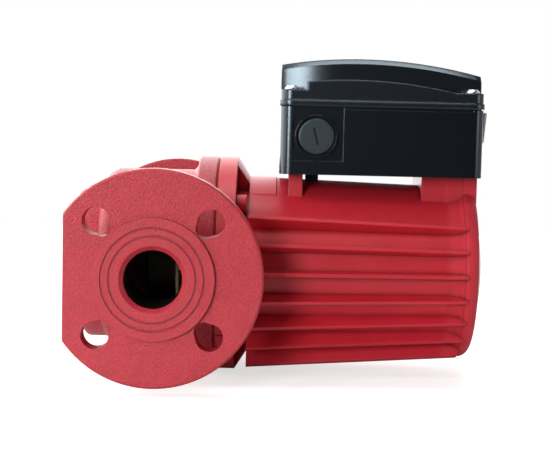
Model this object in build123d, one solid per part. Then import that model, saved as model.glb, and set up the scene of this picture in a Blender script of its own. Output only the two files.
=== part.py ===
from build123d import *
import os
from math import cos, radians, sin

# Circulation pump with two flanged ports in line and a canned motor, lying with its shaft level.
# X runs along the shaft towards the motor, Y from the front port to the rear port, Z up.
# The origin is the middle of the front port's raised face. Lengths are in mm, angles in degrees.

os.makedirs("parts", exist_ok=True)

# Ports: flanges drilled for two pressure ratings, so each hole is two holes run together
port_length = 250.0
port_bore = 40.0
bore_chamfer = 3.0
front_bore_length = 47.0
rear_bore_length = 26.0
front_mouth_radius = 22.5
flange_diameter = 150.0
flange_ring = 16.0
flange_edge = 1.2
flange_flat = 61.0
raised_margin = 13.0
raised_height = 3.0
groove_margins = (7.0, 12.5)
groove_width = 1.4
groove_depth = 0.7
bolt_count = 4
rim_to_bolts = 20.0
outer_hole = 19.0
pitch_circle_step = 10.0
inner_hole = 14.0
neck_wall = 9.5
neck_blend = 9.0

# Pump housing: scroll, closed suction drum and the plate that the motor bolts to
scroll_left = -47.0
scroll_radius = 66.0
scroll_offset = 5.0
scroll_angle = 60.0
scroll_round = 13.0
drum_steps = ((58.0, -60.7, 5.0), (54.0, -66.2, 4.0))
plate_left = 24.0
plate_right = 38.8
plate_radius = 80.5
plate_edge = 1.2
plate_blend = 12.0
casting_wall = 8.0
chamber_left = -12.0
chamber_bevel = 9.0
pilot_radius = 60.0
suction_left = -56.0
suction_radius = 43.0
eye_wall = 9.0
eye_radius = 27.0

# Motor screws: the screws are not modelled here, only their holes and pockets
screw_count = 4
screw_circle_radius = 68.0
screw_clearance_hole = 9.0
screw_tapped_hole = 6.8
screw_hole_depth = 11.0
pocket_half_angle = 24.5
pocket_floor_radius = 60.0

# Motor housing
gasket_thickness = 0.7
gasket_edge_gap = 1.2
motor_flange = 13.5
motor_flange_radius = 80.5
motor_flange_edge = 0.8
lobe_height = 1.0
lobe_width = 29.0
cone_length = 9.2
body_left_radius = 66.1
body_right_radius = 61.5
land_right = 82.0
land_height = 0.2
land_side = 37.0
flare_points = ((209.0, 0.0), (216.0, 2.0))
end_ring_left = 221.0
end_ring_right = 229.4
end_ring_radius = 67.5
end_ring_round = 8.0
recess_depth = 22.0
motor_bore = 45.0

# Cooling fins, on the front and the back of the motor
fin_pitch = 15.0
fin_top_angle = 30.0
fin_count = 7
fin_left = 55.0
fin_right = 221.0
fin_left_height = 15.2
fin_right_height = 8.0
fin_tip = 2.4
fin_root = 5.0
low_fin_tip = 4.6
low_fin_extra = 2.5
low_fin_slant = 7.0

# End cover and its vent plug
disc_radius = 54.0
disc_rim = 3.0
disc_bulge = 8.0
vent_radius = 9.0
vent_edge = 1.0
vent_slot_width = 2.2
vent_slot_depth = 1.6

# Impeller, its shaft and the bearing plate
impeller_radius = 49.0
impeller_eye = 20.5
impeller_gap = 1.0
shroud_thickness = 2.0
vane_count = 6
vane_thickness = 2.0
vane_turn = 62.0
vane_bend = 0.38
outlet_width = 9.0
hub_radius = 10.0
shaft_radius = 5.0
shaft_right = 58.0
shaft_edge = 0.8
nut_across = 13.0
nut_height = 7.0
running_gap = 0.3
neck_ring_wall = 3.0
bearing_plate_thickness = 5.0
bearing_boss_radius = 17.0
bearing_boss = 8.0

# Terminal box: tub, seal, lid and control module
box_left = 83.5
box_right = 229.7
box_bottom = 70.8
box_depth = 118.0
box_height = 48.6
box_corner = 8.0
box_wall = 3.0
panel_left = 129.2
pad_left = 92.7
pad_bottom = 80.6
pad_depth = 1.4
panel_drop = 1.6
seal_height = 0.6
rim_height = 4.0
rim_overhang = 0.9
lid_height = 7.4
post_radius = 4.6
screw_inset = 8.0
brow_left_inset = 19.1
brow_right_inset = 21.5
brow_left_height = 6.0
arch_peak = 53.8
brow_peak_height = 7.8
module_setback = 20.0
module_left_height = 18.6
module_peak_height = 23.6
module_right_height = 12.8
module_wall = 2.5
module_round = 2.0

# Cable entry plugs, front and back, and the hinge cover on the right end
plug_x = 109.7
plug_z = 98.3
plug_radius = 12.8
plug_head = 4.2
plug_round = 1.2
plug_shank = 10.0
plug_shank_length = 9.0
plug_slot = 12.0
plug_slot_width = 1.6
plug_slot_depth = 1.3
plug_slot_lean = 15.0
collar_radius = 15.4
collar_inner = 13.9
collar_height = 2.2
cover_end_gap = 1.0
cover_bottom = 96.0
cover_top_depth = 3.6
cover_bottom_depth = 2.0

# What carries the terminal box
lug_inset = 7.4
lug_width = 10.1
lug_side = 30.5
lug_depth = 13.0
block_length = 40.7
block_inset = 0.4
block_side = 34.2
duct_inset = 19.6
duct_width = 10.2
duct_depth = 24.0
duct_bore = 6.0
foot_root = 36.0

# Places that follow from the sizes above
shaft_y = port_length / 2
motor_left = plate_right + gasket_thickness
pocket_left = motor_left + motor_flange
cone_right = pocket_left + cone_length
body_slope = (body_left_radius - body_right_radius) / (end_ring_left - cone_right)
flange_back = raised_height + flange_ring
outer_pitch_circle = flange_diameter - 2 * rim_to_bolts
inner_pitch_circle = outer_pitch_circle - pitch_circle_step
raised_diameter = outer_pitch_circle - 2 * raised_margin
neck_radius = port_bore / 2 + neck_wall
quarter_sagitta = 1 - cos(radians(45))
impeller_right = plate_left - impeller_gap
impeller_back = impeller_right - shroud_thickness
impeller_front = impeller_back - outlet_width
eye_left = chamber_left - eye_wall
box_front = shaft_y - box_depth / 2
box_top = box_bottom + box_height
rim_bottom = box_top + seal_height
rim_top = rim_bottom + rim_height
lid_top = rim_top + lid_height
brow_left = box_left + brow_left_inset
brow_right = box_right - brow_right_inset
peak_x = box_left + arch_peak
lug_left = box_left + lug_inset
duct_left = box_left + duct_inset
block_right = box_right - block_inset
block_left = block_right - block_length
plug_seat = box_front + pad_depth

shaft_axis = Axis((0, shaft_y, 0), (1, 0, 0))
shaft_profile = Plane(origin=(0, shaft_y, 0), x_dir=(1, 0, 0), z_dir=(0, -1, 0))
port_profile = Plane.YZ
low = (Align.CENTER, Align.CENTER, Align.MIN)


def body_radius(x):
    """Radius of the motor's tapering body at a place along the shaft."""
    return body_left_radius - body_slope * (x - cone_right)


def along_shaft(x_start, x_end, radius, y=0.0, z=0.0):
    """Cylinder along the shaft, with its middle y and z away from the shaft."""
    cylinder = Cylinder(radius, x_end - x_start, align=low)
    return Pos(x_start, shaft_y + y, z) * Rot(0, 90, 0) * cylinder


def along_port(y_start, y_end, radius, x=0.0, z=0.0):
    """Cylinder along the port axis."""
    cylinder = Cylinder(radius, y_end - y_start, align=low)
    return Pos(x, y_start, z) * Rot(-90, 0, 0) * cylinder


def block(x_range, y_range, z_range):
    """Block between two places on each axis."""
    size = [end - start for start, end in (x_range, y_range, z_range)]
    middle = [(end + start) / 2 for start, end in (x_range, y_range, z_range)]
    return Pos(*middle) * Box(*size)


def turned(*points):
    """Solid turned about the shaft from an outline of (x, radius) points."""
    return revolve(make_face(shaft_profile * Polyline(*points, close=True)), shaft_axis)


def turned_port(*points):
    """Solid turned about the port axis from an outline of (y, radius) points."""
    return revolve(make_face(port_profile * Polyline(*points, close=True)), Axis.Y)


def round_shaft(angle, radius):
    """Distances in y and z from the shaft, at an angle above the front side."""
    return -radius * cos(radians(angle)), radius * sin(radians(angle))


def screw_places(radius):
    """Places of the motor screws round the shaft."""
    step = 360 / screw_count
    return [round_shaft(step * (turn + 0.5), radius) for turn in range(screw_count)]


def rear_side(shape):
    """The same shape at the other end of the port axis."""
    return mirror(shape, about=Plane(origin=(0, shaft_y, 0), z_dir=(0, 1, 0)))


def flange_holes():
    """Bolt holes of one flange, each drilled for both pitch circles."""
    holes = []
    for turn in range(bolt_count):
        angle = radians(360 / bolt_count * (turn + 0.5))
        for circle, hole in ((outer_pitch_circle, outer_hole), (inner_pitch_circle, inner_hole)):
            x, z = circle / 2 * cos(angle), circle / 2 * sin(angle)
            holes.append(along_port(-1, flange_back + neck_blend, hole / 2, x, z))
    return holes


def make_flange():
    """Front flange with its raised face, and the neck's foot behind it."""
    ring = along_port(raised_height, flange_back, flange_diameter / 2)
    ring = chamfer(ring.edges().filter_by(GeomType.CIRCLE), flange_edge)
    ring += along_port(0, flange_back, raised_diameter / 2)
    beyond = flange_diameter
    ring -= block((-beyond, -flange_flat), (-1, flange_back + 1), (-beyond, beyond))
    for margin in groove_margins:
        inner = raised_diameter / 2 - margin - groove_width / 2
        groove = along_port(-1, groove_depth, inner + groove_width)
        ring -= groove - along_port(-1, groove_depth, inner)
    return ring


def make_neck():
    """Outer form of the front port's neck, blended into the flange."""
    blend_end = flange_back + neck_blend
    root = shaft_y - scroll_radius + casting_wall * 2
    outline = Polyline(
        (root, neck_radius + casting_wall / 2), (root, 0), (flange_back - 1, 0),
        (flange_back - 1, neck_radius + neck_blend), (flange_back, neck_radius + neck_blend),
    )
    corner = SagittaArc((flange_back, neck_radius + neck_blend), (blend_end, neck_radius),
                        -neck_blend * quarter_sagitta)
    side = Line((blend_end, neck_radius), (root, neck_radius + casting_wall / 2))
    return revolve(make_face(port_profile * Curve([outline, corner, side])), Axis.Y)


def end_edge(shape, axis, end):
    """Round edge of a shape at the near (0) or far (-1) end of an axis."""
    return shape.edges().filter_by(GeomType.CIRCLE).sort_by(axis)[end]


def scroll(left, right, radius):
    """Scroll as a drum off the shaft's axis, widest towards the top and the front port."""
    y, z = round_shaft(scroll_angle, scroll_offset)
    return along_shaft(left, right, radius, y, z)


def make_drum():
    """Stepped closed end of the suction side."""
    shape = None
    for radius, left, rounding in drum_steps:
        step = along_shaft(left, scroll_left + scroll_round, radius)
        step = fillet(end_edge(step, Axis.X, 0), rounding)
        shape = step if shape is None else shape + step
    return shape


def make_plate():
    """Plate that the motor bolts to, with the blend from the scroll up to it."""
    plate = along_shaft(plate_left, plate_right, plate_radius)
    plate = chamfer(plate.edges().filter_by(GeomType.CIRCLE), plate_edge)
    foot = plate_radius - plate_edge - plate_blend
    start = plate_left - plate_blend
    outline = Polyline(
        (plate_left + 1, foot + plate_blend), (plate_left + 1, pilot_radius),
        (start, pilot_radius), (start, foot),
    )
    corner = SagittaArc((start, foot), (plate_left, foot + plate_blend), -plate_blend * quarter_sagitta)
    shoulder = Line((plate_left, foot + plate_blend), (plate_left + 1, foot + plate_blend))
    blend = revolve(make_face(shaft_profile * Curve([outline, corner, shoulder])), shaft_axis)
    return plate + blend


def suction_channel():
    """Bent way from the rear port to the drum on the closed side."""
    bend_start = port_length - bore_chamfer - rear_bore_length
    bend_end = shaft_y + suction_radius - port_bore / 4
    middle_x = (suction_left + eye_left) / 2
    radius = port_bore / 2
    narrow = (eye_left - suction_left) / 2
    straight = along_port(bend_start, port_length + 1, radius)
    mouth = Plane(origin=(0, bend_start, 0), x_dir=(1, 0, 0), z_dir=(0, -1, 0)) * Circle(radius)
    end = Plane(origin=(middle_x, bend_end, 0), x_dir=(1, 0, 0), z_dir=(0, -1, 0)) * Circle(narrow)
    return straight + loft([mouth, end]) + along_port(shaft_y, bend_end, narrow, middle_x)


def make_pump_housing():
    """Grey iron casting: both flanged necks, the scroll, the suction drum and the motor plate."""
    front = make_flange() + make_neck() - flange_holes()
    shape = front + rear_side(front) + make_drum() + make_plate()
    shape += fillet(end_edge(scroll(scroll_left, plate_left + 1, scroll_radius), Axis.X, 0), scroll_round)
    chamber = scroll(chamber_left, plate_right + 1, scroll_radius - casting_wall)
    chamber = chamfer(end_edge(chamber, Axis.X, 0), chamber_bevel)
    chamber &= block((chamber_left, plate_left), (0, port_length), (-plate_radius, plate_radius))
    shape -= chamber
    shape -= along_shaft(plate_left - 1, plate_right + 1, pilot_radius)
    shape -= along_shaft(suction_left, eye_left, suction_radius)
    shape -= along_shaft(eye_left - 1, chamber_left + 1, eye_radius)
    shape -= suction_channel()
    flare_start = bore_chamfer + front_bore_length
    flare_end = shaft_y - impeller_radius
    shape -= turned_port((-1, 0), (-1, port_bore / 2), (flare_start, port_bore / 2),
                         (flare_end, front_mouth_radius), (flare_end, 0))
    mouth = port_bore / 2 + bore_chamfer
    cone = turned_port((-1, 0), (-1, mouth + 1), (bore_chamfer, port_bore / 2), (bore_chamfer, 0))
    shape -= cone + rear_side(cone)
    for y, z in screw_places(screw_circle_radius):
        shape -= along_shaft(plate_right - screw_hole_depth, plate_right + 1, screw_tapped_hole / 2, y, z)
    return shape


def make_gasket():
    """Flat gasket between the pump housing and the motor, cut out for the screws."""
    shape = along_shaft(plate_right, motor_left, plate_radius - gasket_edge_gap)
    shape -= along_shaft(plate_right - 1, motor_left + 1, pilot_radius)
    for y, z in screw_places(screw_circle_radius):
        shape -= along_shaft(plate_right - 1, motor_left + 1, screw_clearance_hole / 2, y, z)
    return shape


def fin(angle, side, tip_width, slant):
    """One cooling fin that tapers along the motor, on the front (1) or the back (-1)."""
    out = (0, -side * cos(radians(angle)), sin(radians(angle)))
    ends = []
    extra = low_fin_extra if slant else 0
    for x, height in ((fin_left, fin_left_height), (fin_right, fin_right_height)):
        tip = body_radius(max(x, cone_right)) + height + extra
        root = body_radius(x) - fin_root / 2
        section = Plane(origin=(x, shaft_y, 0), x_dir=out, z_dir=(1, 0, 0))
        outline = Polygon(
            (root, -fin_root / 2), (tip, -tip_width / 2), (tip, tip_width / 2), (root, fin_root / 2),
            align=None,
        )
        ends.append(section * outline)
    shape = loft(ends, ruled=True)
    if slant:
        tip = body_radius(fin_right) + fin_right_height + extra
        profile = Plane(origin=(0, shaft_y, 0), x_dir=(1, 0, 0), z_dir=Vector(1, 0, 0).cross(Vector(*out)))
        corner = Polygon((fin_right - slant, tip + slant), (fin_right + 1, tip + slant),
                         (fin_right + 1, tip - slant), align=None)
        shape -= extrude(profile * corner, fin_root, both=True)
    return shape


def make_fins():
    """All fins: seven on each side, the lowest a stouter one."""
    fins = []
    for side in (1, -1):
        for number in range(fin_count):
            angle = fin_top_angle - fin_pitch * number
            lowest = number == fin_count - 1
            fins.append(fin(angle, side, low_fin_tip if lowest else fin_tip, low_fin_slant if lowest else 0))
    return fins


def make_box_feet():
    """Two lugs and a wide block on top of the motor, which the terminal box stands on."""
    feet = []
    for side in (-1, 1):
        middle = shaft_y + side * lug_side
        y_range = (middle - lug_depth / 2, middle + lug_depth / 2)
        feet.append(block((lug_left, lug_left + lug_width), y_range, (foot_root, box_bottom)))
    y_range = (shaft_y - block_side, shaft_y + block_side)
    feet.append(block((block_left, block_right), y_range, (foot_root, box_bottom)))
    return feet


def screw_pocket(number):
    """Recess behind the motor flange for a screw's head, open to the outside."""
    middle = 360 / screw_count * (number + 0.5)
    section = Plane(origin=(pocket_left, shaft_y, 0), x_dir=(0, 1, 0), z_dir=(1, 0, 0))
    reach = Vector(2 * motor_flange_radius, 0)
    sides = (middle - pocket_half_angle, middle, middle + pocket_half_angle)
    corners = [reach.rotate(Axis.Z, angle) for angle in sides]
    wedge = extrude(section * Polygon((0, 0), *[(c.X, c.Y) for c in corners], align=None), cone_length)
    return wedge - along_shaft(pocket_left - 1, cone_right + 1, pocket_floor_radius)


def make_stator_housing():
    """Aluminium motor housing: flange, pocketed cone, finned body, end ring and box feet."""
    flare = [(x, body_radius(x) + rise) for x, rise in flare_points]
    body = turned(
        (motor_left, 0), (motor_left, motor_flange_radius - motor_flange_edge),
        (motor_left + motor_flange_edge, motor_flange_radius), (pocket_left, motor_flange_radius),
        (cone_right, body_left_radius), *flare, (end_ring_left, end_ring_radius), (end_ring_left, 0),
    )
    land = along_shaft(cone_right - 1, land_right, body_left_radius + land_height)
    body += land & block((cone_right - 1, land_right), (shaft_y - land_side, shaft_y + land_side),
                         (foot_root, body_left_radius + land_height))
    lobe = Box(motor_flange, 2 * (motor_flange_radius + lobe_height), lobe_width)
    middle = Pos((motor_left + pocket_left) / 2, shaft_y, 0)
    round_lobe = along_shaft(motor_left + motor_flange_edge, pocket_left, motor_flange_radius + lobe_height)
    for angle in (180 / screw_count, -180 / screw_count):
        body += (middle * Rot(angle, 0, 0) * lobe) & round_lobe
    ring = along_shaft(end_ring_left, end_ring_right, end_ring_radius)
    body += fillet(end_edge(ring, Axis.X, -1), end_ring_round)
    body += make_fins()
    body -= [screw_pocket(number) for number in range(screw_count)]
    body += make_box_feet()
    body -= along_shaft(end_ring_right - disc_rim, end_ring_right + 1, disc_radius + running_gap)
    body -= along_shaft(motor_left - 1, motor_left + recess_depth, motor_bore)
    body -= block(
        (duct_left, duct_left + duct_width),
        (shaft_y - duct_depth / 2, shaft_y + duct_depth / 2),
        (body_right_radius - casting_wall, box_bottom + 1),
    )
    for y, z in screw_places(screw_circle_radius):
        body -= along_shaft(motor_left - 1, pocket_left + 1, screw_clearance_hole / 2, y, z)
    return body


def make_end_disc():
    """Slightly domed end cover, let into the end ring."""
    left = end_ring_right - disc_rim
    outline = Polyline((end_ring_right + disc_bulge, 0), (left, 0), (left, disc_radius),
                       (end_ring_right, disc_radius))
    dome_radius = (disc_radius ** 2 + disc_bulge ** 2) / (2 * disc_bulge)
    dome = RadiusArc((end_ring_right, disc_radius), (end_ring_right + disc_bulge, 0), dome_radius)
    shape = revolve(make_face(shaft_profile * Curve([outline, dome])), shaft_axis)
    return shape - along_shaft(left - 1, end_ring_right + disc_bulge + 1, vent_radius + running_gap)


def make_vent_plug():
    """Slotted vent plug in the middle of the end cover."""
    left = end_ring_right - disc_rim
    right = end_ring_right + disc_bulge
    shape = along_shaft(left, right, vent_radius)
    shape = chamfer(end_edge(shape, Axis.X, -1), vent_edge)
    half = vent_slot_width / 2
    slot = block((right - vent_slot_depth, right + 1), (0, port_length), (-half, half))
    return shape - slot


def vane(angle):
    """One backward curved vane between the two shrouds of the impeller."""
    inner, outer = impeller_eye, impeller_radius
    start = Vector(inner, 0)
    middle = Vector((inner + outer) / 2, 0).rotate(Axis.Z, vane_turn * vane_bend)
    end = Vector(outer - vane_thickness / 2, 0).rotate(Axis.Z, vane_turn)
    path = ThreePointArc(start, middle, end)
    strip = trace(path, vane_thickness)
    left = impeller_front - shroud_thickness / 2
    section = Plane(origin=(left, shaft_y, 0), x_dir=(0, 1, 0), z_dir=(1, 0, 0))
    return extrude(section.rotated((angle, 0, 0)) * strip, outlet_width + shroud_thickness)


def make_impeller():
    """Closed impeller: two shrouds, curved vanes, the hub and the eye collar."""
    back = along_shaft(impeller_back, impeller_right, impeller_radius)
    wide = impeller_front - shroud_thickness
    front = along_shaft(wide, impeller_front, impeller_radius)
    front += along_shaft(chamber_left - eye_wall / 2, impeller_front, impeller_eye + shroud_thickness)
    front -= along_shaft(chamber_left - eye_wall, impeller_front + 1, impeller_eye)
    hub = along_shaft(impeller_front - shroud_thickness, impeller_right, hub_radius)
    shape = back + front + hub
    shape += [vane(360 / vane_count * number) for number in range(vane_count)]
    return shape - along_shaft(chamber_left, plate_right, shaft_radius + running_gap)


def make_neck_ring():
    """Wear ring pressed into the wall round the impeller's eye."""
    outer = along_shaft(eye_left, chamber_left, eye_radius)
    return outer - along_shaft(eye_left - 1, chamber_left + 1, eye_radius - neck_ring_wall)


def make_bearing_plate():
    """Plate that closes the motor behind the impeller and carries the front bearing."""
    left = plate_left
    right = motor_left + recess_depth
    shape = along_shaft(left, left + bearing_plate_thickness, pilot_radius - running_gap)
    shape += along_shaft(left, right, motor_bore - running_gap)
    shape -= along_shaft(left + bearing_plate_thickness, right + 1, motor_bore - casting_wall)
    shape += along_shaft(left, left + bearing_plate_thickness + bearing_boss, bearing_boss_radius)
    return shape - along_shaft(left - 1, right + 1, shaft_radius + running_gap)


def make_shaft():
    """Front end of the motor shaft, which carries the impeller."""
    left = impeller_front - shroud_thickness - nut_height - 1
    shape = along_shaft(left, shaft_right, shaft_radius)
    return chamfer(shape.edges().filter_by(GeomType.CIRCLE), shaft_edge)


def make_nut():
    """Nut that holds the impeller on its shaft."""
    right = impeller_front - shroud_thickness
    plane = Plane(origin=(right - nut_height, shaft_y, 0), x_dir=(0, 1, 0), z_dir=(1, 0, 0))
    nut = extrude(plane * RegularPolygon(nut_across / 2, 6, major_radius=False), nut_height)
    return nut - along_shaft(right - nut_height - 1, right + 1, shaft_radius + running_gap)


def rounded_block(x_range, y_range, z_range, corner):
    """Upright block with rounded vertical corners."""
    return fillet(block(x_range, y_range, z_range).edges().filter_by(Axis.Z), corner)


def box_outline(z_range, grow=0.0):
    """The terminal box's plan, between two heights, larger all round by grow."""
    x_range = (box_left - grow, box_right + grow)
    y_range = (box_front - grow, box_front + box_depth + grow)
    return rounded_block(x_range, y_range, z_range, box_corner + grow)


def box_screw_places():
    """Places of the four lid screws."""
    far = box_front + box_depth - screw_inset
    return [(x, y) for x in (box_left + screw_inset, box_right - screw_inset)
            for y in (box_front + screw_inset, far)]


def post(x, y, z_start, z_end, radius):
    """Upright round post or hole."""
    return Pos(x, y, z_start) * Cylinder(radius, z_end - z_start, align=low)


def make_box_base():
    """Tub of the terminal box, with a sunk pad for each cable plug and posts for the lid."""
    shape = box_outline((box_bottom, box_top))
    inside = box_outline((box_bottom + box_wall, box_top + 1), -box_wall - pad_depth)
    shape -= inside
    shape += [post(x, y, box_bottom, box_top, post_radius) for x, y in box_screw_places()]
    pad = block((pad_left, panel_left), (box_front - 1, plug_seat), (pad_bottom, box_top + 1))
    strip = block((panel_left - 1, box_right - box_corner), (box_front - 1, box_front + pad_depth / 2),
                  (box_top - panel_drop, box_top + 1))
    hole = along_port(box_front - 1, plug_seat + 2 * box_wall, plug_shank, plug_x, plug_z)
    for cut in (pad, strip, hole):
        shape -= cut
        shape -= rear_side(cut)
    shape -= block(
        (duct_left, duct_left + duct_width),
        (shaft_y - duct_depth / 2, shaft_y + duct_depth / 2),
        (box_bottom - 1, box_bottom + box_wall + 1),
    )
    return shape


def make_lid_seal():
    """Thin seal between the tub and the lid."""
    ring = box_outline((box_top, rim_bottom), -pad_depth)
    return ring - box_outline((box_top - 1, rim_bottom + 1), -box_wall - pad_depth)


def arched(y_range, points, base):
    """Solid under an arched top: left end, peak and right end as (x, height) over a base."""
    left, peak, right = points
    arc = ThreePointArc(left, peak, right)
    outline = Polyline(right, (right[0], base), (left[0], base), left)
    front = Plane(origin=(0, y_range[1], 0), x_dir=(1, 0, 0), z_dir=(0, -1, 0))
    return extrude(front * make_face(Curve([arc, outline])), y_range[1] - y_range[0])


def make_lid():
    """Lid with its rim, corner seats and the two raised brows before and behind the module."""
    shape = box_outline((rim_bottom, rim_top), rim_overhang)
    shape += box_outline((rim_top - 1, lid_top))
    brow = arched(
        (box_front, box_front + module_setback),
        ((brow_left, lid_top + brow_left_height), (peak_x, lid_top + brow_peak_height), (brow_right, lid_top)),
        rim_top,
    )
    shape += brow + rear_side(brow)
    shape -= box_outline((rim_bottom - 1, lid_top - box_wall), -box_wall - pad_depth)
    for x, y in box_screw_places():
        shape += post(x, y, rim_bottom, lid_top - 1, post_radius)
    return shape


def make_module():
    """Control module: a cover with an arched top, across the whole length of the lid."""
    def cover(inset, base):
        y_range = (box_front + module_setback + inset, box_front + box_depth - module_setback - inset)
        return arched(y_range, (
            (box_left + inset, lid_top + module_left_height - inset),
            (peak_x, lid_top + module_peak_height - inset),
            (box_right - inset, lid_top + module_right_height - inset),
        ), base)

    shape = cover(0, lid_top)
    top = shape.faces().sort_by(Axis.Z)[-1]
    shape = fillet(top.edges(), module_round)
    return shape - cover(module_wall, lid_top - 1)


def make_plug():
    """Slotted blanking plug in the front cable entry."""
    front = plug_seat - plug_head
    shape = along_port(front, plug_seat, plug_radius, plug_x, plug_z)
    shape = fillet(end_edge(shape, Axis.Y, 0), plug_round)
    shape += along_port(plug_seat - 1, plug_seat + plug_shank_length, plug_shank - running_gap, plug_x, plug_z)
    slot = Box(plug_slot_width, 2 * plug_slot_depth, plug_slot)
    return shape - Pos(plug_x, front, plug_z) * Rot(0, -plug_slot_lean, 0) * slot


def make_collar():
    """Low collar round the cable plug."""
    front = plug_seat - collar_height
    ring = along_port(front, plug_seat, collar_radius, plug_x, plug_z)
    return ring - along_port(front - 1, plug_seat + 1, collar_inner, plug_x, plug_z)


def make_end_cover():
    """Wedge shaped cover on the right end of the box."""
    profile = Plane(origin=(0, shaft_y, 0), x_dir=(1, 0, 0), z_dir=(0, -1, 0))
    outline = Polygon(
        (box_right, cover_bottom), (box_right + cover_bottom_depth, cover_bottom),
        (box_right + cover_top_depth, box_top - pad_depth), (box_right, box_top - pad_depth), align=None,
    )
    return extrude(profile * outline, box_depth / 2 - box_corner - cover_end_gap, both=True)


def make_duct():
    """Wire duct from the motor up into the terminal box."""
    z_range = (body_right_radius - casting_wall, box_bottom + box_wall)
    y_range = (shaft_y - duct_depth / 2 + running_gap, shaft_y + duct_depth / 2 - running_gap)
    x_range = (duct_left + running_gap, duct_left + duct_width - running_gap)
    shape = block(x_range, y_range, z_range)
    middle = duct_left + duct_width / 2
    return shape - post(middle, shaft_y, z_range[0] + box_wall, z_range[1] + 1, duct_bore / 2)


nodes = {
    "pump_housing": make_pump_housing(),
    "housing_gasket": make_gasket(),
    "stator_housing": make_stator_housing(),
    "bearing_plate": make_bearing_plate(),
    "impeller": make_impeller(),
    "impeller_nut": make_nut(),
    "rotor_shaft": make_shaft(),
    "neck_ring": make_neck_ring(),
    "end_disc": make_end_disc(),
    "vent_plug": make_vent_plug(),
    "terminal_box_base": make_box_base(),
    "lid_seal": make_lid_seal(),
    "terminal_box_lid": make_lid(),
    "control_module": make_module(),
    "cable_plug_front": make_plug(),
    "cable_plug_back": rear_side(make_plug()),
    "plug_collar_front": make_collar(),
    "plug_collar_back": rear_side(make_collar()),
    "box_end_cover": make_end_cover(),
    "wire_duct": make_duct(),
}

for name, shape in nodes.items():
    export_step(shape, f"parts/{name}.step")
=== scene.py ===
"""Looks of the circulation pump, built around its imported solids. Lengths in the frame are metres."""
import math

import bmesh
import bpy
from mathutils import Matrix, Vector


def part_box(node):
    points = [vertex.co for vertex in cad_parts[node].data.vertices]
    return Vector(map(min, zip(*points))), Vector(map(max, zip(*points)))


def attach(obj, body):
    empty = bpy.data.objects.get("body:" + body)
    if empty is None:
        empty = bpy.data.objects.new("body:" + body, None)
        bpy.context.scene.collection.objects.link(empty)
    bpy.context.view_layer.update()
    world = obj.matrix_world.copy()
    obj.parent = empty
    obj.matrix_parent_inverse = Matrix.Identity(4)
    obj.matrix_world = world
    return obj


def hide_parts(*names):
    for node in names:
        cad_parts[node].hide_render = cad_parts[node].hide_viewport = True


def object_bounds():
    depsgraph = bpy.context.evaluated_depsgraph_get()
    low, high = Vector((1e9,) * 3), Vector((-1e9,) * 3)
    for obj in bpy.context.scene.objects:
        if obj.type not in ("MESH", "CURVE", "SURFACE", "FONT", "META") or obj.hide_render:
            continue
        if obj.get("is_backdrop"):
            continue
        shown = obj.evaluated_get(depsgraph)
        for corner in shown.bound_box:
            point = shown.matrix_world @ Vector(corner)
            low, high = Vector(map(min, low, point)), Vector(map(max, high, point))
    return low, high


bl_info = {
    "name": "Circulation pump",
    "version": (1, 0, 0),
    "blender": (4, 5, 0),
    "location": "3D View > Sidebar > Pump",
    "description": "Finishes and small pieces of a flanged circulation pump",
    "category": "Object",
}

MM = 0.001
# Edges that turn further than this stay sharp.
SHARP_FROM = math.radians(35)
# The housing's channels as round spaces: axis, a point on it, radius, start and end along it, in mm.
CHANNELS = (
    ("Y", (0, 0, 0), 21.0, 3.2, 246.8),
    ("X", (0, 122.5, 4.3), 59.5, -12.6, 24.5),
    ("X", (0, 125, 0), 60.5, 23.5, 40.0),
    ("X", (0, 125, 0), 44.0, -57.0, -12.0),
)

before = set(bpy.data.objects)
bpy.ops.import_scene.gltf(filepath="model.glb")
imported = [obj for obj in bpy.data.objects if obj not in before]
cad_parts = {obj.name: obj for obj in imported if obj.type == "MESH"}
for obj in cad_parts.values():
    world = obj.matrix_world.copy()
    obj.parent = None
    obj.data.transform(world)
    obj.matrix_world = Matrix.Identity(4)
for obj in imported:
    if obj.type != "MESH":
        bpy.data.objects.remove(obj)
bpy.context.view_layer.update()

box_low, box_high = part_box("terminal_box_base")
module_low, module_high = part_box("control_module")
motor_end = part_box("stator_housing")[1].x
gasket_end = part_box("housing_gasket")[1].x
shaft_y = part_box("pump_housing")[1].y / 2


def linear(colour):
    """Linear colour of an sRGB hex value."""
    parts = [int(colour[i:i + 2], 16) / 255 for i in (1, 3, 5)]
    return [c / 12.92 if c <= 0.04045 else ((c + 0.055) / 1.055) ** 2.4 for c in parts]


def add(tree, kind, settings=None, inputs=None):
    """Adds a node with its settings, its input values and the links into it."""
    made = tree.nodes.new(kind)
    for name, value in (settings or {}).items():
        setattr(made, name, value)
    for name, value in (inputs or {}).items():
        if isinstance(value, bpy.types.NodeSocket):
            tree.links.new(value, made.inputs[name])
        else:
            made.inputs[name].default_value = value
    return made


def colour_setting(name, description, value):
    """Colour property of a finish."""
    return bpy.props.FloatVectorProperty(
        name=name, description=description, subtype="COLOR", size=3, min=0, max=1, default=linear(value))


def length_setting(name, description, value_mm):
    """Length property, given in millimetres."""
    return bpy.props.FloatProperty(
        name=name, description=description, unit="LENGTH", min=0, default=value_mm * MM, precision=5)


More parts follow.
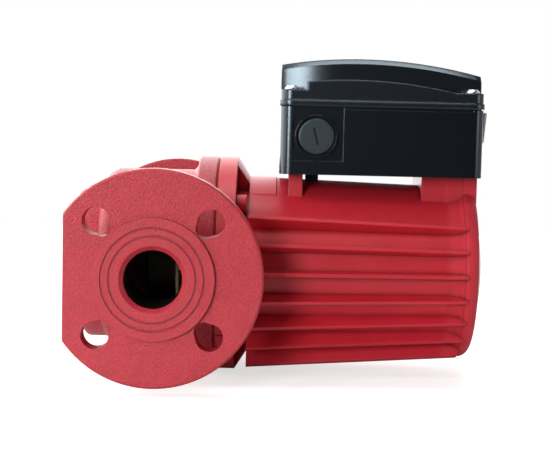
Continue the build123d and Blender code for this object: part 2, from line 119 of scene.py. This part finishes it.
class PumpFinishes(bpy.types.PropertyGroup):
    iron_coat: colour_setting("Iron coating", "Coating of the cast iron pump housing", "#BE2A38")
    # This dark red is painted shade in the cast iron's hollows, and also the colour of the motor's seam.
    shade_and_seam_red: colour_setting("Iron hollows", "Coating in the hollows of the cast surface", "#5E0E14")
    # This near black is partly uncoated iron and partly painted shade inside the channels.
    bare_iron_and_shade: colour_setting("Bare iron", "Uncoated iron inside the channels", "#1A1312")
    motor_coat: colour_setting("Motor coating", "Coating of the die cast motor housing", "#C42533")
    box_plastic: colour_setting("Box plastic", "Moulded plastic of the terminal box", "#0C0E13")
    # The module's and the lid's blacks are lighter than the box's: painted light, for the light that their faces catch.
    module_plastic: colour_setting("Module plastic", "Moulded plastic of the control module", "#14171B")
    lid_plastic: colour_setting("Lid plastic", "Moulded plastic of the box's lid", "#181C21")
    grey_plastic: colour_setting("End cover plastic", "Moulded plastic of the cover on the box's right end", "#A9ADB3")
    plug_plastic: colour_setting("Plug plastic", "Moulded plastic of the cable plugs", "#2A3036")
    hollow_shade: bpy.props.FloatProperty(name="Hollow shade", description="How dark the cast hollows are",
                                          default=0.7, min=0, max=1, subtype="FACTOR")
    sand_grain: length_setting("Sand grain", "Size of the sand marks in the cast iron", 1.1)
    seam_place: length_setting("Seam place", "Distance of the motor's seam from its right end", 10.4)
    sharp_edge: length_setting("Machined edge", "Radius of the coated edges of the machined faces", 0.5)
    soft_edge: length_setting("Casting edge", "Radius that the coating gives the castings' edges", 0.9)


class PumpFasteners(bpy.types.PropertyGroup):
    motor_head: length_setting("Motor screw head", "Width of a motor screw's head", 13.0)
    motor_head_height: length_setting("Motor screw height", "Height of a motor screw's head", 8.0)
    motor_socket: length_setting("Motor screw key", "Width across flats of the key hole", 6.0)
    motor_key_depth: length_setting("Motor screw key depth", "Depth of the key hole", 4.0)
    motor_seat: length_setting("Motor screw seat", "Distance of the motor screws' seats from the gasket", 13.5)
    motor_circle: length_setting("Motor screw circle", "Distance of the motor screws from the shaft", 68.0)
    lid_head: length_setting("Lid screw head", "Width of a lid screw's head", 10.0)
    lid_head_height: length_setting("Lid screw height", "Height of a lid screw's head", 2.9)
    lid_slot: length_setting("Lid screw slot", "Length of each slot of a lid screw's cross", 5.0)
    lid_slot_width: length_setting("Lid screw slot width", "Width of those slots", 1.1)
    lid_slot_depth: length_setting("Lid screw slot depth", "Depth of those slots", 1.4)
    lid_seat: length_setting("Lid screw seat", "Height of the lid screws' seats over the box's tub", 12.0)
    lid_inset: length_setting("Lid screw inset", "Distance of the lid screws from the box's sides", 8.0)


class PumpBulge(bpy.types.PropertyGroup):
    start: length_setting("Bend start", "Distance from the front port to where the rear channel starts to bend", 221.0)
    end: length_setting("Bend end", "Distance from the front port to the bulge's end inside the drum", 172.0)
    reach: length_setting("Bend reach", "How far the channel moves to the closed side along the whole bend", 38.5)
    span: length_setting("Bend length", "Length of the whole bend", 63.0)
    bore: length_setting("Channel radius", "Radius of the channel where the bend starts", 20.0)
    taper: length_setting("Channel taper", "How much the channel's radius shrinks along the whole bend", 2.5)
    play: length_setting("Play", "Room between the channel and the bulge's inner side", 0.4)
    wall: length_setting("Bulge wall", "Thickness of the casting over the channel", 7.5)


class PumpBox(bpy.types.PropertyGroup):
    left_height: length_setting("Left height", "Height of the module's left end over the lid", 18.6)
    peak_height: length_setting("Peak height", "Height of the module's highest place over the lid", 23.6)
    right_height: length_setting("Right height", "Height of the module's right end over the lid", 12.8)
    peak_place: length_setting("Peak place", "Distance of the highest place from the left end", 53.8)
    edge: length_setting("Module edge", "Radius of the module's upright edges", 1.2)
    shoulder: length_setting("Shoulder", "Radius of the slope along the module's top edges", 52.0)
    top_edge: length_setting("Top edge", "Radius between that slope and the top", 1.6)
    joint: length_setting("Joint", "Width of the line between the module's sides and its top", 0.5)
    crown_reach: length_setting("Crown reach", "Length over which the module's front curves back to its left end", 42.0)
    crown_drop: length_setting("Crown drop", "How far the module's front lies back at its left end", 6.5)
    cover_top: length_setting("Cover top", "Depth of the end cover at its upper end", 2.8)
    cover_low: length_setting("Cover foot", "Depth of the end cover at its lower end", 1.1)
    cover_edge: length_setting("Cover edge", "Bevel of the end cover's edges", 0.5)


class PumpStage(bpy.types.PropertyGroup):
    floor: colour_setting("Floor", "Colour of the floor and backdrop", "#D4D4D4")
    wall: bpy.props.FloatProperty(name="Side walls", description="Power of the two white walls", default=11.0,
                                  min=0, unit="POWER")
    side: bpy.props.FloatProperty(name="Front lamps", description="Power that the three front lamps share in",
                                  default=13.8, min=0, unit="POWER")
    front: bpy.props.FloatProperty(name="Room in front", description="Light of the room before the pump",
                                   default=0.04, min=0)
    back: bpy.props.FloatProperty(name="Room behind", description="Light of the room behind the pump",
                                  default=4.0, min=0)
    top: bpy.props.FloatProperty(name="Top lamps", description="Power that the two lamps above share in",
                                 default=6.5, min=0, unit="POWER")
    lens: bpy.props.FloatProperty(name="Lens", description="Focal length", default=88.18, min=1,
                                  unit="CAMERA")


def new_material(name):
    """Empty material with its output node."""
    made = bpy.data.materials.new(name)
    made.use_nodes = True
    made.node_tree.nodes.clear()
    return made, made.node_tree


def within(tree, place, axis, middle, radius, start, end):
    """1 inside a round space about an axis, and 0 outside it."""
    cross = [0 if letter == axis else 1 for letter in "XYZ"]
    off = add(tree, "ShaderNodeVectorMath", {"operation": "SUBTRACT"}, {0: place, 1: middle}).outputs[0]
    flat = add(tree, "ShaderNodeVectorMath", {"operation": "MULTIPLY"}, {0: off, 1: cross}).outputs[0]
    reach = add(tree, "ShaderNodeVectorMath", {"operation": "LENGTH"}, {0: flat}).outputs["Value"]
    close = add(tree, "ShaderNodeMath", {"operation": "LESS_THAN"}, {0: reach, 1: radius}).outputs[0]
    along = add(tree, "ShaderNodeSeparateXYZ", inputs={0: place}).outputs[axis]
    level = add(tree, "ShaderNodeMath", {"operation": "COMPARE"},
                {0: along, 1: (start + end) / 2, 2: (end - start) / 2}).outputs[0]
    return add(tree, "ShaderNodeMath", {"operation": "MULTIPLY"}, {0: close, 1: level}).outputs[0]


def finish(tree, place, colour, clouds, marks, shader, edge=0.0, corner=0.0):
    """Completes a material: softened edges, a colour that drifts in clouds, and layers of surface marks.

    clouds is (size, darkest share, lightest share), and each mark is (size, height, strength). edge is the
    radius of the softened edges, and corner is how far from an inner corner the colour is darkened as painted shade."""
    normal = None
    if edge:
        normal = add(tree, "ShaderNodeBevel", {"samples": 6}, {"Radius": edge}).outputs["Normal"]
    for size, height, strength in marks:
        pattern = add(tree, "ShaderNodeTexNoise", inputs={
            "Vector": place, "Scale": 1 / size, "Detail": 3.0, "Roughness": 0.6}).outputs["Fac"]
        inputs = {"Height": pattern, "Distance": height, "Strength": strength}
        if normal is not None:
            inputs["Normal"] = normal
        normal = add(tree, "ShaderNodeBump", inputs=inputs).outputs["Normal"]
    size, darkest, lightest = clouds
    drift = add(tree, "ShaderNodeTexNoise", inputs={"Vector": place, "Scale": 1 / size, "Detail": 3.0})
    share = add(tree, "ShaderNodeMapRange", inputs={
        "Value": drift.outputs["Fac"], "From Min": 0.3, "From Max": 0.7, "To Min": darkest, "To Max": lightest})
    shade = add(tree, "ShaderNodeVectorMath", {"operation": "SCALE"},
                {0: colour, "Scale": share.outputs[0]}).outputs[0]
    # Painted shade: ambient occlusion darkens the colour near inner corners, in slots and between fins.
    if corner:
        occlusion_shade = add(tree, "ShaderNodeAmbientOcclusion", {"samples": 8}, {"Color": shade, "Distance": corner})
        unshaded_share = add(tree, "ShaderNodeMapRange", inputs={
            "Value": occlusion_shade.outputs["AO"], "From Min": 0.3, "From Max": 0.85, "To Min": 0.15}).outputs[0]
        shade = add(tree, "ShaderNodeVectorMath", {"operation": "SCALE"},
                    {0: shade, "Scale": unshaded_share}).outputs[0]
    inputs = {"Base Color": shade, "Normal": normal, **shader}
    surface = add(tree, "ShaderNodeBsdfPrincipled", inputs=inputs)
    add(tree, "ShaderNodeOutputMaterial", inputs={"Surface": surface.outputs["BSDF"]})


def coated_cast_iron():
    """Sand cast grey iron, machined on its faces, sprayed red outside, and near black in its channels, which is partly
    uncoated iron and partly painted shade.
    """
    look = bpy.context.scene.pump_finishes
    made, tree = new_material("Sprayed coat on sand cast iron")
    place = add(tree, "ShaderNodeTexCoord").outputs["Object"]

    # Inside the channels the colour is near black: partly uncoated iron, partly painted shade for the deep openings in
    # a red body.
    bare_and_shaded = 0.0
    for axis, middle, radius, start, end in CHANNELS:
        space = within(tree, place, axis, [c * MM for c in middle], radius * MM, start * MM, end * MM)
        bare_and_shaded = add(tree, "ShaderNodeMath", {"operation": "MAXIMUM"}, {0: space, 1: bare_and_shaded}).outputs[0]

    # Turned port faces keep a fine grain, and everything else shows the coarse marks of the sand.
    depth = add(tree, "ShaderNodeSeparateXYZ", inputs={0: place}).outputs["Y"]
    middle = add(tree, "ShaderNodeMath", {"operation": "COMPARE"},
                 {0: depth, 1: shaft_y, 2: shaft_y - 4.6 * MM}).outputs[0]
    rough = add(tree, "ShaderNodeMapRange", inputs={"Value": middle, "To Min": 0.5, "To Max": 1.0}).outputs[0]
    edge = add(tree, "ShaderNodeMapRange", inputs={
        "Value": middle, "To Min": look.sharp_edge, "To Max": look.soft_edge}).outputs[0]

    # Painted shade: the hollows between the sand marks are painted darker, with a noise of the sand marks' size, half
    # as strong on the turned port faces.
    hollows = add(tree, "ShaderNodeTexNoise", inputs={
        "Vector": place, "Scale": 1 / look.sand_grain, "Detail": 2.0, "Roughness": 0.6}).outputs["Fac"]
    dark = add(tree, "ShaderNodeMapRange", inputs={
        "Value": hollows, "From Min": 0.52, "From Max": 0.4, "To Max": look.hollow_shade}).outputs[0]
    dark = add(tree, "ShaderNodeMath", {"operation": "MULTIPLY"}, {0: dark, 1: rough}).outputs[0]
    coat = add(tree, "ShaderNodeMix", {"data_type": "RGBA"},
               {0: dark, 6: list(look.iron_coat) + [1], 7: list(look.shade_and_seam_red) + [1]}).outputs[2]
    colour = add(tree, "ShaderNodeMix", {"data_type": "RGBA"},
                 {0: bare_and_shaded, 6: coat, 7: list(look.bare_iron_and_shade) + [1]}).outputs[2]
    marks = [(9 * MM, 0.35 * MM, 0.35), (look.sand_grain * 1.5, 0.6 * MM, rough), (look.sand_grain, 0.45 * MM, 0.9)]
    # The last value is how far the painted shade in inner corners reaches.
    finish(tree, place, colour, (14 * MM, 0.94, 1.05), marks, {"Roughness": 0.4}, edge, 1.5 * MM)
    return made


def coated_die_casting():
    """Die cast aluminium, sprayed red: smoother than the iron, so it gleams a little more on its rounds."""
    look = bpy.context.scene.pump_finishes
    made, tree = new_material("Sprayed coat on die cast aluminium")
    place = add(tree, "ShaderNodeTexCoord").outputs["Object"]
    # The die's parting line before the end ring shows as a thin dark seam.
    along = add(tree, "ShaderNodeSeparateXYZ", inputs={0: place}).outputs["X"]
    seam = add(tree, "ShaderNodeMath", {"operation": "COMPARE"},
               {0: along, 1: motor_end - look.seam_place, 2: 0.35 * MM}).outputs[0]
    shade = add(tree, "ShaderNodeMath", {"operation": "MULTIPLY"}, {0: seam, 1: 0.45}).outputs[0]
    colour = add(tree, "ShaderNodeMix", {"data_type": "RGBA"},
                 {0: shade, 6: list(look.motor_coat) + [1], 7: list(look.shade_and_seam_red) + [1]}).outputs[2]
    # Orange peel of a sprayed coat is 1 mm or less, and is drawn at 1.4 mm to show at all.
    marks = [(7 * MM, 0.12 * MM, 0.5), (1.4 * MM, 0.07 * MM, 0.8)]
    # The spray lands dry on the slope before the end ring, which stays dull.
    dry = add(tree, "ShaderNodeMapRange", inputs={
        "Value": along, "From Min": motor_end - 24 * MM, "From Max": motor_end - 20 * MM,
        "To Min": 0.4, "To Max": 0.75}).outputs[0]
    # The last value is how far the painted shade reaches at the fins' roots and in other inner corners.
    finish(tree, place, colour, (18 * MM, 0.95, 1.04), marks, {"Roughness": dry}, look.soft_edge, 5 * MM)
    return made


def moulded_plastic(name, colour, roughness, gloss, edge, corner=0.0):
    """Glass filled plastic from a spark eroded mould: an even fine grain that spreads the highlights wide."""
    made, tree = new_material(name)
    place = add(tree, "ShaderNodeTexCoord").outputs["Object"]
    # The real grain is about 0.1 mm, too fine to show, and is drawn at 0.8 mm.
    marks = [(0.8 * MM, 0.04 * MM, 0.6)]
    # The reflections are tinted cool blue: painted cool light, as the plastic's own gloss has no colour.
    finish(tree, place, list(colour), (20 * MM, 0.95, 1.05), marks,
           {"Roughness": roughness, "Specular IOR Level": gloss, "Specular Tint": (0.72, 0.88, 1, 1)}, edge, corner)
    return made


def turned_metal(name, colour, roughness):
    """Metal turned on a lathe or pressed: bright, with its reflections blurred by fine tool marks."""
    made, tree = new_material(name)
    place = add(tree, "ShaderNodeTexCoord").outputs["Object"]
    marks = [(1.5 * MM, 0.02 * MM, 0.5)]
    finish(tree, place, list(colour), (1.5 * MM, 0.93, 1.05), marks, {"Roughness": roughness, "Metallic": 1.0})
    return made


def soft_sheet(name, colour):
    """Rubber or fibre sheet cut to shape: dull, with no clear highlight."""
    made, tree = new_material(name)
    place = add(tree, "ShaderNodeTexCoord").outputs["Object"]
    marks = [(0.9 * MM, 0.05 * MM, 0.6)]
    finish(tree, place, list(colour), (3 * MM, 0.85, 1.1), marks, {"Roughness": 0.8})
    return made


def material_set():
    """All materials, by the name of what carries them."""
    look = bpy.context.scene.pump_finishes
    # A plastic has its roughness, its gloss, its edges' radius and the width of its painted shade in inner corners, a
    # metal its roughness.
    return {
        "iron": coated_cast_iron(),
        "motor": coated_die_casting(),
        "box": moulded_plastic("Spark eroded moulded plastic, box", look.box_plastic, 0.22, 0.85, 0.5 * MM),
        "lid": moulded_plastic("Spark eroded moulded plastic, lid", look.lid_plastic, 0.22, 0.85, 2.2 * MM),
        "grey": moulded_plastic("Moulded plastic, end cover", look.grey_plastic, 0.45, 0.5, 0.5 * MM),
        "module": moulded_plastic("Spark eroded moulded plastic, module", look.module_plastic, 0.22, 0.78, 0.0),
        "plug": moulded_plastic("Moulded plastic, plugs", look.plug_plastic, 0.4, 0.5, 1.0 * MM, 2 * MM),
        "steel": turned_metal("Turned stainless steel", linear("#C4C7CB"), 0.3),
        "cover": turned_metal("Pressed aluminium cover", linear("#C9C4BF"), 0.4),
        "brass": turned_metal("Turned brass", linear("#C29A52"), 0.3),
        "composite": moulded_plastic("Moulded glass filled composite", linear("#94835F"), 0.55, 0.5, 0.3 * MM),
        "gasket": soft_sheet("Pressed fibre gasket sheet, oversprayed", linear("#7A1C24")),
        "rubber": soft_sheet("Moulded rubber", linear("#141414")),
    }


def wear(name, material):
    """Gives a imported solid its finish."""
    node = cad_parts[name]
    node.data.materials.clear()
    node.data.materials.append(material)


def finish_piece(name, mesh, material, replaced=None):
    """Adds a finished mesh that rides with the pump, in place of a solid where one is named."""
    piece = bpy.data.objects.new(name, mesh)
    bpy.context.scene.collection.objects.link(piece)
    mesh.materials.append(material)
    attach(piece, "root")
    if replaced:
        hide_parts(replaced)


def hexagon(flats):
    """Radius of a hexagon at an angle."""
    return lambda angle: flats / 2 / math.cos((angle + math.pi / 6) % (math.pi / 3) - math.pi / 6)


def oblong(length, width, lean=0.0):
    """Radius of a slot at an angle."""
    def radius(angle):
        turned = angle - lean
        return min(length / 2 / max(abs(math.cos(turned)), 1e-6), width / 2 / max(abs(math.sin(turned)), 1e-6))
    return radius


def skin(loops):
    """Closed mesh through loops of points, each with as many points as the next."""
    mesh = bmesh.new()
    rings = [[mesh.verts.new(point) for point in loop] for loop in loops]
    for lower, upper in zip(rings, rings[1:]):
        for step in range(len(lower)):
            mesh.faces.new((lower[step - 1], lower[step], upper[step], upper[step - 1]))
    mesh.faces.new(rings[0][::-1])
    mesh.faces.new(rings[-1])
    return mesh


def lathe(rings, sides):
    """Mesh of rings (height, radius) up the Z axis. A radius may be a function of the angle."""
    loops = []
    for height, radius in rings:
        loop = []
        for step in range(sides):
            angle = 2 * math.pi * step / sides
            reach = radius(angle) if callable(radius) else radius
            loop.append((reach * math.cos(angle), reach * math.sin(angle), height))
        loops.append(loop)
    return skin(loops)


def arch_through(points):
    """Height of a circular arch through three points (x, z), at any x."""
    (x1, z1), (x2, z2), (x3, z3) = points
    fall, run = (z2 - z1) * (x3 - x2) - (z3 - z2) * (x2 - x1), (x2 ** 2 - x1 ** 2 + z2 ** 2 - z1 ** 2) / 2
    rise = (x3 ** 2 - x2 ** 2 + z3 ** 2 - z2 ** 2) / 2
    middle_x = (run * (z3 - z2) - rise * (z2 - z1)) / -fall
    middle_z = (run * (x3 - x2) - rise * (x2 - x1)) / fall
    radius = math.hypot(x1 - middle_x, z1 - middle_z)
    return lambda x: middle_z + math.sqrt(radius ** 2 - (x - middle_x) ** 2)


def to_mesh(name, work, places=(Matrix.Identity(4),)):
    """Mesh made of one bmesh repeated at places, smooth but for its sharp edges."""
    joined = bmesh.new()
    single = bpy.data.meshes.new(name)
    work.to_mesh(single)
    for place in places:
        copy = single.copy()
        copy.transform(place)
        joined.from_mesh(copy)
        bpy.data.meshes.remove(copy)
    joined.to_mesh(single)
    for face in single.polygons:
        face.use_smooth = True
    single.set_sharp_from_angle(angle=SHARP_FROM)
    work.free()
    joined.free()
    return single


class PUMP_OT_castings(bpy.types.Operator):
    """Finish the castings and what shows inside them, and build the bulge over the rear channel"""
    bl_idname = "pump.castings"
    bl_label = "Castings"

    def execute(self, context):
        worn = {
            "pump_housing": "iron", "housing_gasket": "gasket", "stator_housing": "motor",
            "bearing_plate": "steel", "impeller": "composite", "impeller_nut": "steel",
            "rotor_shaft": "steel", "neck_ring": "steel", "end_disc": "cover", "vent_plug": "brass",
        }
        for name, material in worn.items():
            wear(name, materials[material])

        # The solid's rear channel breaks through its neck beside the drum, and this half ring of casting covers it.
        sizes = context.scene.pump_bulge
        stations, sides = 12, 24
        turns = [math.pi * (0.5 + side / sides) for side in range(sides + 1)]
        loops = []
        for station in range(stations + 1):
            y = sizes.start + (sizes.end - sizes.start) * station / stations
            share = (sizes.start - y) / sizes.span
            middle, inner = -sizes.reach * share, sizes.bore - sizes.taper * share + sizes.play
            rounds = [(inner + sizes.wall, turn) for turn in turns] + [(inner, turn) for turn in reversed(turns)]
            loops.append([(middle + reach * math.cos(turn), y, reach * math.sin(turn)) for reach, turn in rounds])
        mesh = to_mesh("channel_bulge", skin(loops))
        finish_piece("channel_bulge", mesh, materials["iron"])
        return {"FINISHED"}


class PUMP_OT_terminal_box(bpy.types.Operator):
    """Finish the terminal box and build the slim wedge on its right end"""
    bl_idname = "pump.terminal_box"
    bl_label = "Terminal box"

    def execute(self, context):
        worn = {
            "terminal_box_base": "box", "lid_seal": "rubber", "terminal_box_lid": "lid",
            "plug_collar_front": "box", "plug_collar_back": "box",
            "box_end_cover": "grey", "wire_duct": "box", "cable_plug_front": "plug",
            "cable_plug_back": "plug",
        }
        for name, material in worn.items():
            wear(name, materials[material])

        sizes = context.scene.pump_box
        low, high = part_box("box_end_cover")
        edge, loops = sizes.cover_edge, []
        for z, depth, inset in (
                (low.z, sizes.cover_low, edge), (low.z + edge, sizes.cover_low, 0.0),
                (high.z - edge, sizes.cover_top, 0.0), (high.z, sizes.cover_top, edge)):
            side, front, back = low.x + depth - inset, low.y + inset, high.y - inset
            loops.append([
                (low.x, front, z), (side - edge, front, z), (side, front + edge, z),
                (side, back - edge, z), (side - edge, back, z), (low.x, back, z)])
        mesh = to_mesh("end_cover_wedge", skin(loops))
        finish_piece("end_cover_wedge", mesh, materials["grey"], "box_end_cover")
        return {"FINISHED"}


class PUMP_OT_module(bpy.types.Operator):
    """Build the control module with its arched top, crowned front and rounded edges"""
    bl_idname = "pump.module"
    bl_label = "Control module"

    def execute(self, context):
        sizes = context.scene.pump_box
        low, high, edge, reach = module_low, module_high, sizes.edge, sizes.crown_reach
        joint, count, arc_count = sizes.joint, 44, 5
        # Two arcs lead from the sides to the top, each with its radius and the degrees that it starts and ends at.
        slope = []
        for radius, first, last in ((sizes.shoulder, 41, 46), (sizes.top_edge, 46, 90)):
            start_y, start_z = slope[-1] if slope else (0, 0)
            for step in range(1, arc_count + 1):
                turn = math.radians(first + (last - first) * step / arc_count)
                slope.append((start_y + radius * (math.cos(math.radians(first)) - math.cos(turn)),
                              start_z + radius * (math.sin(turn) - math.sin(math.radians(first)))))
        rise = slope[-1][1]
        top = arch_through((
            (low.x, low.z + sizes.left_height), (low.x + sizes.peak_place, low.z + sizes.peak_height),
            (high.x, low.z + sizes.right_height)))
        turns = [math.pi / 2 * step / arc_count for step in range(arc_count + 1)]
        ends = [(edge * (1 - math.sin(turn)), edge * (1 - math.cos(turn))) for turn in reversed(turns)]
        stations = [(low.x + along, inset) for along, inset in ends]
        length = high.x - low.x - 2 * edge
        stations += [(low.x + edge + length * step / count, 0.0) for step in range(1, count)]
        stations += [(high.x - along, inset) for along, inset in reversed(ends)]
        loops = []
        for x, inset in stations:
            near = max(0.0, reach - (x - low.x)) / reach
            back = sizes.crown_drop * near ** 2 + inset
            front_y, back_y, crest = low.y + back, high.y - back, top(x) - inset
            side = [(0, crest - low.z), (0, rise + joint), (joint, rise + joint * 0.7), (joint, rise)]
            side += [(joint + y, rise - z) for y, z in slope]
            loop = [(x, front_y + y, crest - z) for y, z in side]
            loops.append(loop + [(x, back_y - y, crest - z) for y, z in reversed(side)])
        mesh = to_mesh("module_cover", skin(loops))
        finish_piece("module_cover", mesh, materials["module"], "control_module")
        return {"FINISHED"}


class PUMP_OT_screws(bpy.types.Operator):
    """Add the motor's cap screws and the lid's screws"""
    bl_idname = "pump.screws"
    bl_label = "Screws"

    def execute(self, context):
        sizes = context.scene.pump_fasteners
        radius, height = sizes.motor_head / 2, sizes.motor_head_height
        key = hexagon(sizes.motor_socket)
        head = lathe([
            (0, radius - 0.4 * MM), (0.4 * MM, radius), (height - 0.8 * MM, radius),
            (height - 0.2 * MM, radius - 0.5 * MM), (height, radius - 1.1 * MM),
            (height, lambda angle: key(angle) + 0.3 * MM),
            (height - 0.3 * MM, key), (height - sizes.motor_key_depth, key),
        ], 48)
        seat, circle = gasket_end + sizes.motor_seat, sizes.motor_circle
        places = []
        for quarter in range(4):
            angle = math.pi / 2 * (quarter + 0.5)
            spot = Vector((seat, shaft_y + circle * math.cos(angle), circle * math.sin(angle)))
            places.append(Matrix.Translation(spot) @ Matrix.Rotation(math.pi / 2, 4, "Y"))
        finish_piece("motor_screws", to_mesh("motor_screws", head, places), materials["motor"])

        radius, height = sizes.lid_head / 2, sizes.lid_head_height
        along = oblong(sizes.lid_slot, sizes.lid_slot_width)
        across = oblong(sizes.lid_slot, sizes.lid_slot_width, math.pi / 2)

        def cross(angle):
            return max(along(angle), across(angle))

        head = lathe([
            (0, radius - 0.2 * MM), (0.3 * MM, radius), (height * 0.45, radius - 0.2 * MM),
            (height * 0.8, radius * 0.72), (height, radius * 0.62), (height, cross),
            (height - sizes.lid_slot_depth, cross),
        ], 96)
        seat, inset = box_high.z + sizes.lid_seat, sizes.lid_inset
        places = [
            Matrix.Translation((x, y, seat))
            for x in (box_low.x + inset, box_high.x - inset) for y in (box_low.y + inset, box_high.y - inset)]
        finish_piece("lid_screws", to_mesh("lid_screws", head, places), materials["steel"])
        return {"FINISHED"}


def lamp(name, place, target, width, height, power):
    """Soft lamp that faces a point."""
    data = bpy.data.lights.new(name, "AREA")
    data.shape = "RECTANGLE"
    data.size, data.size_y = width, height
    data.energy = power
    made = bpy.data.objects.new(name, data)
    bpy.context.scene.collection.objects.link(made)
    made.location = place
    made.rotation_mode = "QUATERNION"
    made.rotation_quaternion = (Vector(target) - Vector(place)).to_track_quat("-Z", "Y")


class PUMP_OT_stage(bpy.types.Operator):
    """Add the floor, the lamps and the camera"""
    bl_idname = "pump.stage"
    bl_label = "Stage"

    def execute(self, context):
        stage = context.scene.pump_stage
        low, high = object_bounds()
        work = bmesh.new()
        corners = ((-1.2, -0.22), (1.4, -0.22), (1.4, 1.4), (-1.2, 1.4))
        work.faces.new([work.verts.new((x, y, 0)) for x, y in corners])
        mesh = to_mesh("floor", work, [Matrix.Translation((0, 0, low.z - 0.2 * MM))])
        floor = bpy.data.objects.new("floor", mesh)
        context.scene.collection.objects.link(floor)
        floor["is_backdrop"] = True

        made, tree = new_material("Pale paper floor")
        # The camera sees this paper as white, while the pump's shadow on it stays.
        path = add(tree, "ShaderNodeLightPath")
        paper = add(tree, "ShaderNodeBsdfDiffuse", inputs={"Color": list(stage.floor) + [1]})
        shine = add(tree, "ShaderNodeEmission", inputs={"Color": (1, 1, 1, 1), "Strength": 0.65})
        both = add(tree, "ShaderNodeAddShader", inputs={0: paper.outputs[0], 1: shine.outputs[0]})
        mix = add(tree, "ShaderNodeMixShader",
                  inputs={0: path.outputs["Is Camera Ray"], 1: paper.outputs[0], 2: both.outputs[0]})
        add(tree, "ShaderNodeOutputMaterial", inputs={"Surface": mix.outputs[0]})
        mesh.materials.append(made)

        # Each lamp's place, the point it faces, its width and height in metres, and its power.
        middle = (low + high) / 2
        lamp("left_wall", (-1.3, -0.15, 0.35), middle, 1.7, 1.1, stage.wall)
        lamp("right_wall", (1.45, 0.05, 0.35), middle, 1.3, 1.1, stage.wall * 0.18)
        lamp("left_lamp", (-0.56, -1.36, 0.33), middle, 0.42, 0.5, stage.side)
        lamp("key_lamp", (-0.75, -0.9, 1.0), middle, 0.35, 0.35, stage.side * 0.25)
        lamp("right_lamp", (1.6, -0.8, 0.35), middle, 0.6, 0.6, stage.side * 0.2)
        lamp("top_lamp", (0.14, 0.03, 1.4), (0.14, 0.05, 0), 1.0, 0.3, stage.top)
        lamp("front_top_lamp", (0.1, -1.0, 1.2), middle, 0.6, 0.4, stage.top * 0.35)
        world = bpy.data.worlds.new("room")
        context.scene.world = world
        world.use_nodes = True
        tree = world.node_tree
        tree.nodes.clear()
        # The room is white behind the pump, most to the left, and dark before it, so black plastic stays black.
        place = add(tree, "ShaderNodeTexCoord").outputs["Generated"]
        along = add(tree, "ShaderNodeVectorMath", {"operation": "DOT_PRODUCT"}, {0: place, 1: (-0.45, 0.9, 0)})
        level = add(tree, "ShaderNodeMapRange", inputs={
            "Value": along.outputs["Value"], "From Min": 0.1, "From Max": 1.0,
            "To Min": stage.front, "To Max": stage.back})
        path = add(tree, "ShaderNodeLightPath")
        level = add(tree, "ShaderNodeMapRange", inputs={
            "Value": path.outputs["Is Camera Ray"], "To Min": level.outputs[0], "To Max": 1.0})
        room = add(tree, "ShaderNodeBackground", inputs={"Color": (1, 1, 1, 1), "Strength": level.outputs[0]})
        add(tree, "ShaderNodeOutputWorld", inputs={"Surface": room.outputs[0]})

        data = bpy.data.cameras.new("camera")
        data.lens, data.sensor_width, data.sensor_fit = stage.lens, 36.0, "HORIZONTAL"
        data.clip_start, data.clip_end = 0.05, 20
        camera = bpy.data.objects.new("camera", data)
        context.scene.collection.objects.link(camera)
        # Turned left, tilted down and rolled, in degrees, as fitted to the flanges in the photo.
        yaw, pitch, roll = (math.radians(angle) for angle in (-0.12, 4.48, -1.35))
        forward = Vector((math.sin(yaw) * math.cos(pitch), math.cos(yaw) * math.cos(pitch), -math.sin(pitch)))
        level_up = Vector((math.sin(yaw) * math.sin(pitch), math.cos(yaw) * math.sin(pitch), math.cos(pitch)))
        level_right = Vector((math.cos(yaw), -math.sin(yaw), 0))
        right = level_right * math.cos(roll) - level_up * math.sin(roll)
        up = level_right * math.sin(roll) + level_up * math.cos(roll)
        turn = Matrix((right, up, -forward)).transposed().to_4x4()
        camera.matrix_world = Matrix.Translation((83.6 * MM, -900 * MM, 109.7 * MM)) @ turn
        context.scene.camera = camera
        context.scene.view_settings.view_transform = "Standard"
        return {"FINISHED"}


class PUMP_PT_panel(bpy.types.Panel):
    """Sizes, colours and steps of the pump"""
    bl_idname = "PUMP_PT_panel"
    bl_label = "Circulation pump"
    bl_space_type = "VIEW_3D"
    bl_region_type = "UI"
    bl_category = "Pump"

    def draw(self, context):
        for group in groups:
            settings = getattr(context.scene, group)
            for name in settings.__annotations__:
                self.layout.prop(settings, name)
        for step in steps:
            self.layout.operator(step.bl_idname)


steps = (PUMP_OT_castings, PUMP_OT_terminal_box, PUMP_OT_module, PUMP_OT_screws, PUMP_OT_stage)
groups = {
    "pump_finishes": PumpFinishes, "pump_bulge": PumpBulge, "pump_fasteners": PumpFasteners, "pump_box": PumpBox,
    "pump_stage": PumpStage}
materials = {}


def register():
    for each in (*groups.values(), *steps, PUMP_PT_panel):
        bpy.utils.register_class(each)
    for name, group in groups.items():
        setattr(bpy.types.Scene, name, bpy.props.PointerProperty(type=group))


def unregister():
    for name in groups:
        delattr(bpy.types.Scene, name)
    for each in (PUMP_PT_panel, *reversed(steps), *groups.values()):
        bpy.utils.unregister_class(each)


def main():
    register()
    materials.update(material_set())
    bpy.ops.pump.castings()
    bpy.ops.pump.terminal_box()
    bpy.ops.pump.module()
    bpy.ops.pump.screws()
    bpy.ops.pump.stage()


if __name__ == "__main__":
    main()
